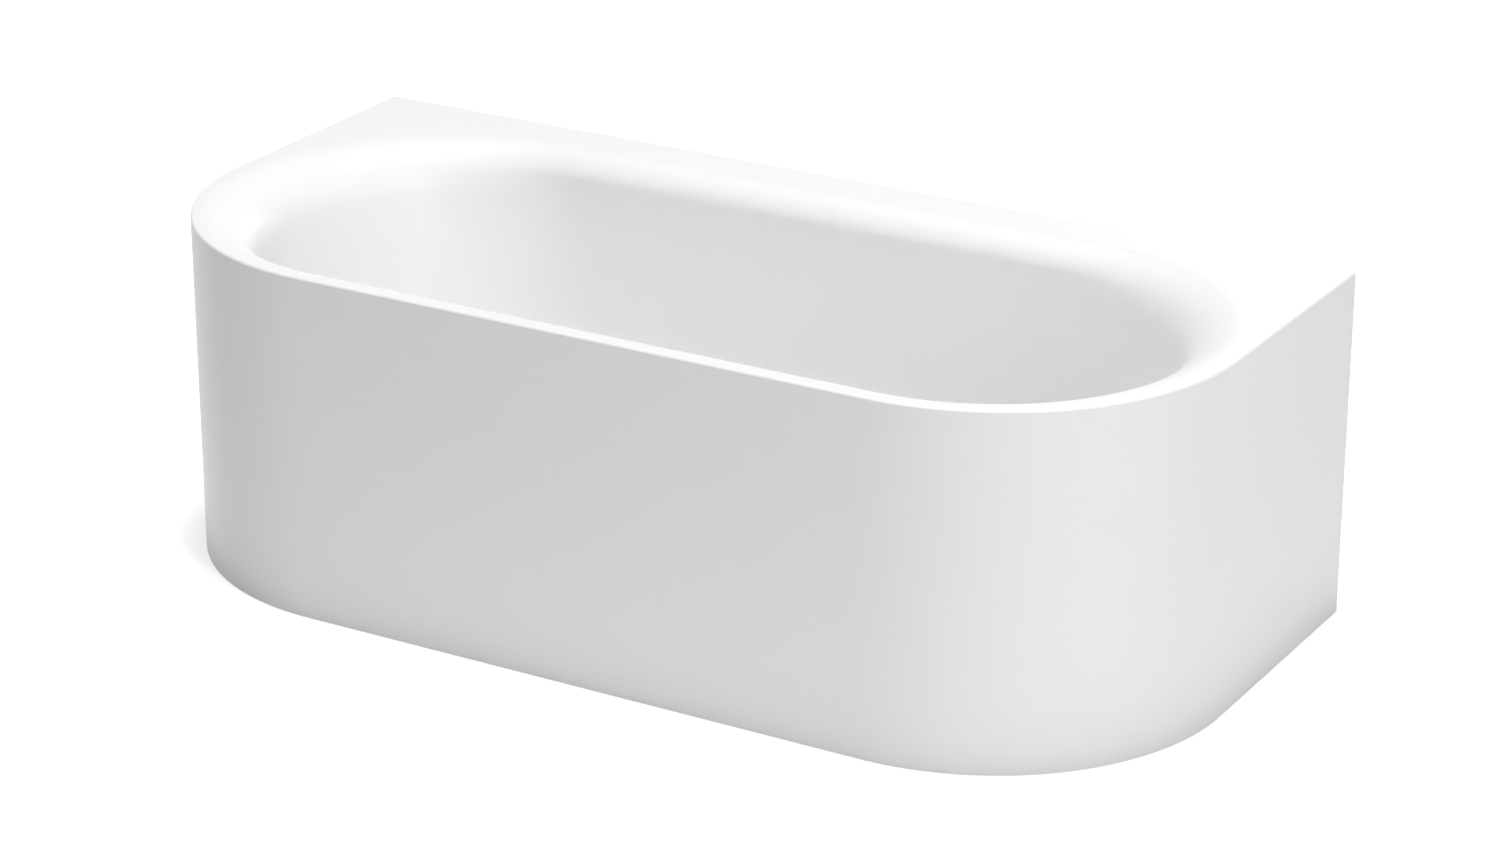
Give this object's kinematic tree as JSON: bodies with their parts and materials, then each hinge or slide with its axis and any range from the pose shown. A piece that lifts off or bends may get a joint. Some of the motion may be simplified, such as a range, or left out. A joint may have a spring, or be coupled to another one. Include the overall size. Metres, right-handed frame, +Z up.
{
  "type": "back-to-wall bathtub",
  "caption": "Back-to-wall bathtub with a D-shaped seamless panel, rounded front corners and an oval basin, with waste, trap, overflow knob and levelling feet.",
  "frame": {"origin": "on the floor, under the middle of the bath's bounding box", "axes": "+X along the bath to the right seen from the front, +Y towards the wall behind it, +Z up"},
  "size_m": [1.8, 0.85, 0.575],
  "materials": {
    "enamel": "gloss vitreous enamel on steel",
    "galvanised": "hot-dip galvanised, dull spangle",
    "zinc_fasteners": "bright zinc plated",
    "pad_rubber": "matt",
    "mat_bitumen": "matt, coarse",
    "foot_plastic": "moulded, fine grain",
    "sole_rubber": "matt",
    "chrome_parts": "mirror",
    "seal_rubber": "matt",
    "white_plastic": "satin moulding",
    "grey_plastic": "satin moulding",
    "black_plastic": "satin",
    "brass_parts": "turned",
    "stainless": "brushed"
  },
  "bodies": {
    "frame": {"tub_shell": "enamel", "apron_panel": "enamel", "rim_stiffener": "galvanised", "rail_left": "galvanised", "rail_right": "galvanised", "panel_brackets": "galvanised", "wall_clips": "galvanised", "earth_lug": "galvanised", "bracket_bolts": "zinc_fasteners", "bracket_nuts": "zinc_fasteners", "foot_bushes": "zinc_fasteners", "lock_nuts": "zinc_fasteners", "earth_bolt": "zinc_fasteners", "earth_nut": "zinc_fasteners", "support_pads": "pad_rubber", "sound_mats": "mat_bitumen", "waste_flange": "chrome_parts", "flange_seal": "seal_rubber", "waste_gasket": "seal_rubber", "trap_seal": "seal_rubber", "outlet_seal": "seal_rubber", "overflow_gasket": "seal_rubber", "pipe_seals": "seal_rubber", "waste_body": "white_plastic", "trap_cup": "white_plastic", "trap_ring": "white_plastic", "outlet_nut": "white_plastic", "outlet_pipe": "white_plastic", "overflow_body": "grey_plastic", "overflow_pipe": "grey_plastic", "pipe_nuts": "grey_plastic", "bowden_sheath": "black_plastic", "cable_clamps": "black_plastic", "cable_glands": "brass_parts", "fixing_plate": "stainless", "fixing_screws": "stainless"},
    "knob": {"knob_cap": "chrome_parts", "knob_shaft": "brass_parts", "cable_drum": "grey_plastic"},
    "plug": {"plug_cap": "chrome_parts", "plug_seal": "seal_rubber", "plug_stem": "brass_parts"},
    "rocker": {"lift_rocker": "grey_plastic"},
    "foot_front_left": {"foot_pad_front_left": "foot_plastic", "foot_sole_front_left": "sole_rubber"},
    "stem_front_left": {"foot_stem_front_left": "zinc_fasteners"},
    "foot_front_right": {"foot_pad_front_right": "foot_plastic", "foot_sole_front_right": "sole_rubber"},
    "stem_front_right": {"foot_stem_front_right": "zinc_fasteners"},
    "foot_rear_left": {"foot_pad_rear_left": "foot_plastic", "foot_sole_rear_left": "sole_rubber"},
    "stem_rear_left": {"foot_stem_rear_left": "zinc_fasteners"},
    "foot_rear_right": {"foot_pad_rear_right": "foot_plastic", "foot_sole_rear_right": "sole_rubber"},
    "stem_rear_right": {"foot_stem_rear_right": "zinc_fasteners"}
  },
  "joints": [
    {"name": "knob_turn", "type": "hinge", "parent": "frame", "child": "knob", "pos_m": [0, -0.35867, 0.475], "axis": [0, 0.9981, 0.061], "range_deg": [0, 90]},
    {"name": "plug_lift", "type": "slide", "parent": "frame", "child": "plug", "axis": [0, 0, 1], "range_m": [0, 0.009]},
    {"name": "rocker_tilt", "type": "hinge", "parent": "frame", "child": "rocker", "pos_m": [0, -0.01, 0.118], "axis": [-1, 0, 0], "range_deg": [0, 26.7]},
    {"name": "foot_height_front_left", "type": "slide", "parent": "frame", "child": "foot_front_left", "axis": [0, 0, 1], "range_m": [-0.01, 0.015]},
    {"name": "stem_turn_front_left", "type": "hinge", "parent": "foot_front_left", "child": "stem_front_left", "pos_m": [-0.4, -0.31, 0.08], "axis": [0, 0, 1], "range_deg": [-2400, 3600]},
    {"name": "foot_height_front_right", "type": "slide", "parent": "frame", "child": "foot_front_right", "axis": [0, 0, 1], "range_m": [-0.01, 0.015]},
    {"name": "stem_turn_front_right", "type": "hinge", "parent": "foot_front_right", "child": "stem_front_right", "pos_m": [0.4, -0.31, 0.08], "axis": [0, 0, 1], "range_deg": [-2400, 3600]},
    {"name": "foot_height_rear_left", "type": "slide", "parent": "frame", "child": "foot_rear_left", "axis": [0, 0, 1], "range_m": [-0.01, 0.015]},
    {"name": "stem_turn_rear_left", "type": "hinge", "parent": "foot_rear_left", "child": "stem_rear_left", "pos_m": [-0.4, 0.31, 0.08], "axis": [0, 0, 1], "range_deg": [-2400, 3600]},
    {"name": "foot_height_rear_right", "type": "slide", "parent": "frame", "child": "foot_rear_right", "axis": [0, 0, 1], "range_m": [-0.01, 0.015]},
    {"name": "stem_turn_rear_right", "type": "hinge", "parent": "foot_rear_right", "child": "stem_rear_right", "pos_m": [0.4, 0.31, 0.08], "axis": [0, 0, 1], "range_deg": [-2400, 3600]}
  ],
  "couplings": [
    {"joint": "plug_lift", "follows": "knob_turn", "m_per_rad": 0.00572},
    {"joint": "rocker_tilt", "follows": "knob_turn", "ratio": 0.2966},
    {"joint": "stem_turn_front_left", "follows": "foot_height_front_left", "rad_per_m": 4188.8},
    {"joint": "stem_turn_front_right", "follows": "foot_height_front_right", "rad_per_m": 4188.8},
    {"joint": "stem_turn_rear_left", "follows": "foot_height_rear_left", "rad_per_m": 4188.8},
    {"joint": "stem_turn_rear_right", "follows": "foot_height_rear_right", "rad_per_m": 4188.8}
  ]
}
